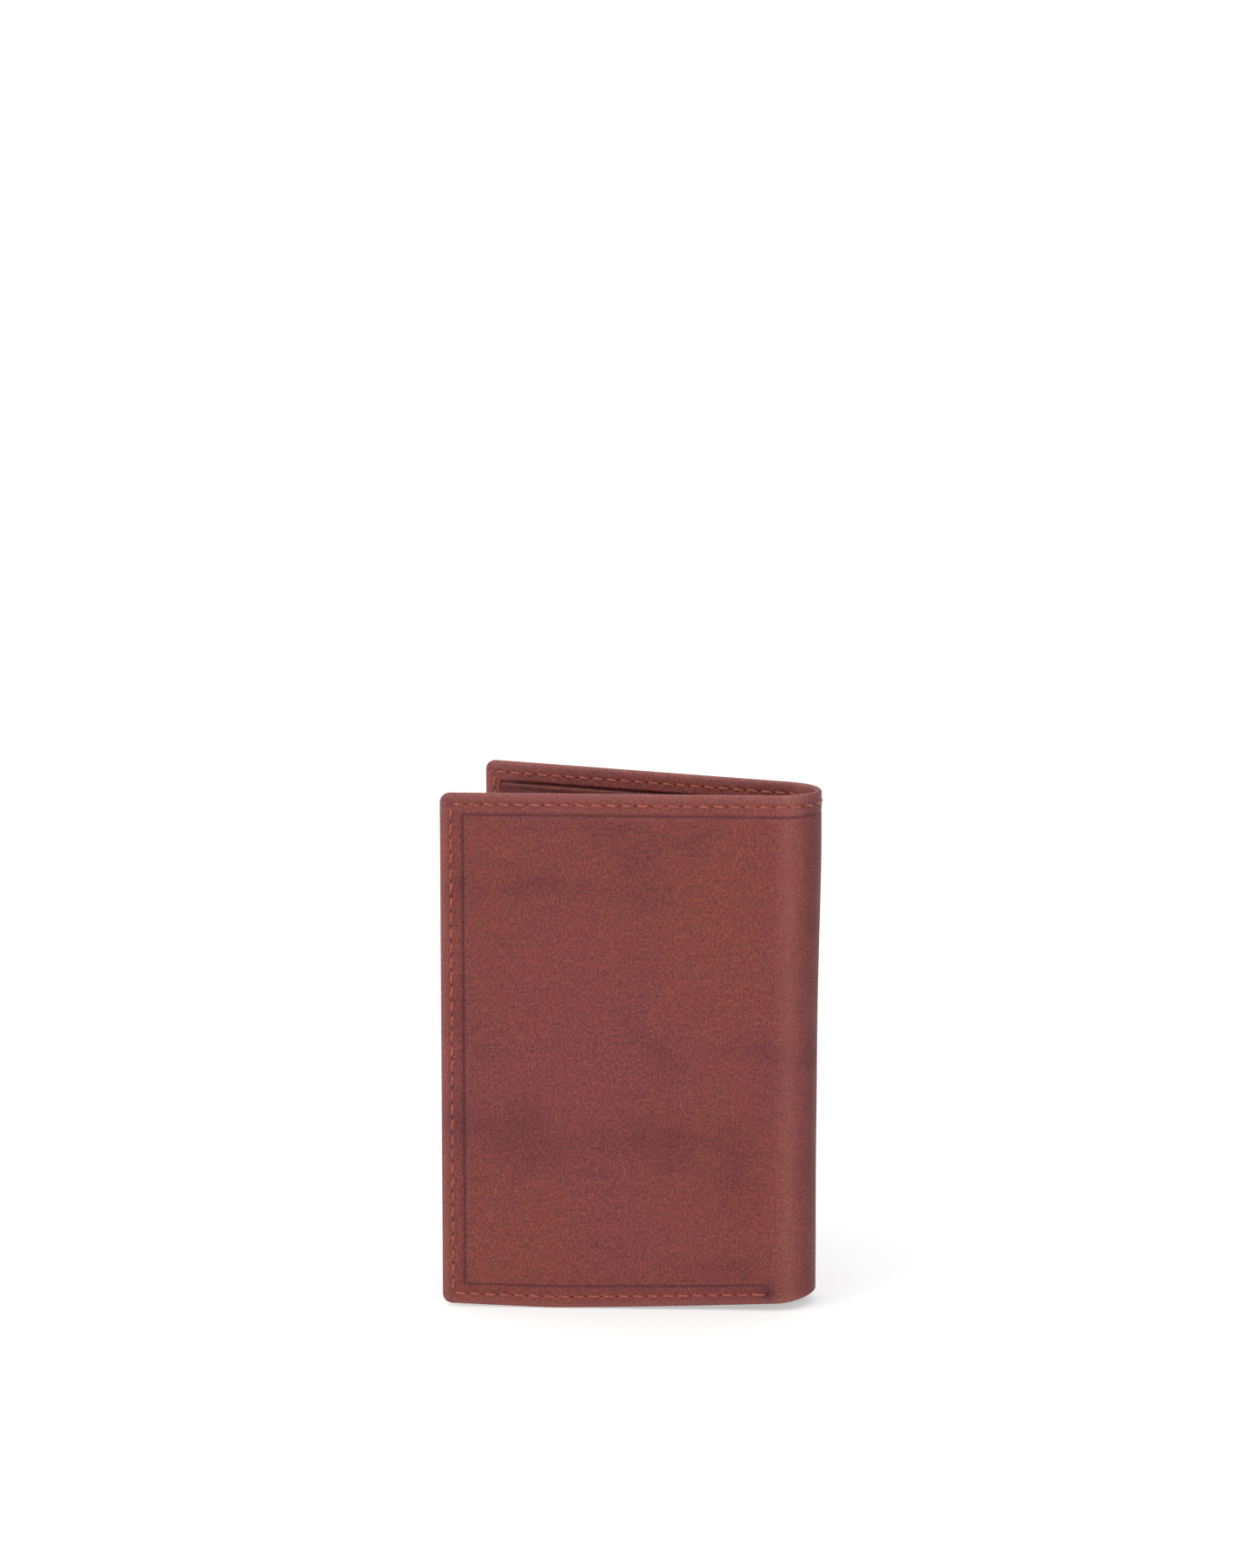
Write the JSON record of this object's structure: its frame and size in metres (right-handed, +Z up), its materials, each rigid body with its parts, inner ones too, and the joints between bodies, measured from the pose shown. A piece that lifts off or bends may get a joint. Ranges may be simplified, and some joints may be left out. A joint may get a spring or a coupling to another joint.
{
  "type": "trifold wallet",
  "caption": "Portrait-format leather wallet whose covers fold round an inner leaf, with card pockets, an open banknote pocket and a zipped coin pocket.",
  "frame": {"origin": "under the middle of the wallet, on the surface that it stands on, in the half-open pose", "axes": "+Z up along the covers' height, +X towards the fold, +Y out of the back cover's outer face, so the front cover is on the -Y side"},
  "size_m": [0.0948, 0.0488, 0.1335],
  "materials": {
    "cover_leather": "matt waxed reddish-brown cowhide with a fine grain",
    "inner_leather": "matt reddish-brown leather, slightly darker than the covers",
    "lining": "thin dark brown woven lining",
    "thread": "twisted terracotta sewing thread",
    "zip_tape": "dark brown herringbone tape",
    "zip_metal": "antique brass",
    "clear_pane": "soft clear film"
  },
  "bodies": {
    "back_cover": {"back_cover_leather": "cover_leather", "back_lining": "lining", "back_inner_wall": "inner_leather", "back_card_pocket_1": "inner_leather", "back_card_pocket_2": "inner_leather", "back_card_pocket_3": "inner_leather", "back_card_pocket_4": "inner_leather", "back_pocket_thread": "thread", "back_edge_thread": "thread"},
    "spine": {"spine_leather": "cover_leather", "spine_lining": "lining", "spine_inner_wall": "inner_leather", "spine_thread": "thread", "leaf_hinge_tape": "inner_leather"},
    "leaf": {"leaf_core": "inner_leather", "leaf_window_pane": "clear_pane", "leaf_window_frame": "inner_leather", "leaf_card_pocket_1": "inner_leather", "leaf_card_pocket_2": "inner_leather", "leaf_card_pocket_3": "inner_leather", "leaf_thread": "thread"},
    "front_cover": {"front_cover_leather": "cover_leather", "front_lining": "lining", "front_inner_wall": "inner_leather", "front_card_pocket": "inner_leather", "coin_pocket_back": "lining", "coin_pocket_gusset": "inner_leather", "coin_pocket_face": "inner_leather", "coin_pocket_thread": "thread", "zip_tape_upper": "zip_tape", "zip_tape_lower": "zip_tape", "zip_teeth_upper": "zip_metal", "zip_teeth_lower": "zip_metal", "zip_end_stops": "zip_metal", "front_edge_thread": "thread"},
    "zip_slider": {"zip_slider_body": "zip_metal", "zip_pull": "zip_metal"}
  },
  "joints": [
    {"name": "fold_back", "type": "hinge", "parent": "back_cover", "child": "spine", "pos_m": [0.04418, 0.02259, 0], "axis": [0, 0, 1], "range_deg": [-9.65, 80.35]},
    {"name": "fold_front", "type": "hinge", "parent": "spine", "child": "front_cover", "pos_m": [0.04673, 0.00759, 0], "axis": [0, 0, 1], "range_deg": [-9.65, 80.35]},
    {"name": "leaf_turn", "type": "hinge", "parent": "spine", "child": "leaf", "pos_m": [0.04367, 0.01478, 0], "axis": [0, 0, -1], "range_deg": [-4.83, 40.17]},
    {"name": "zip_travel", "type": "slide", "parent": "front_cover", "child": "zip_slider", "axis": [-0.9438, -0.3305, 0], "range_m": [0, 0.0488]}
  ],
  "couplings": [
    {"joint": "fold_front", "follows": "fold_back", "ratio": 1},
    {"joint": "leaf_turn", "follows": "fold_back", "ratio": 0.5}
  ]
}
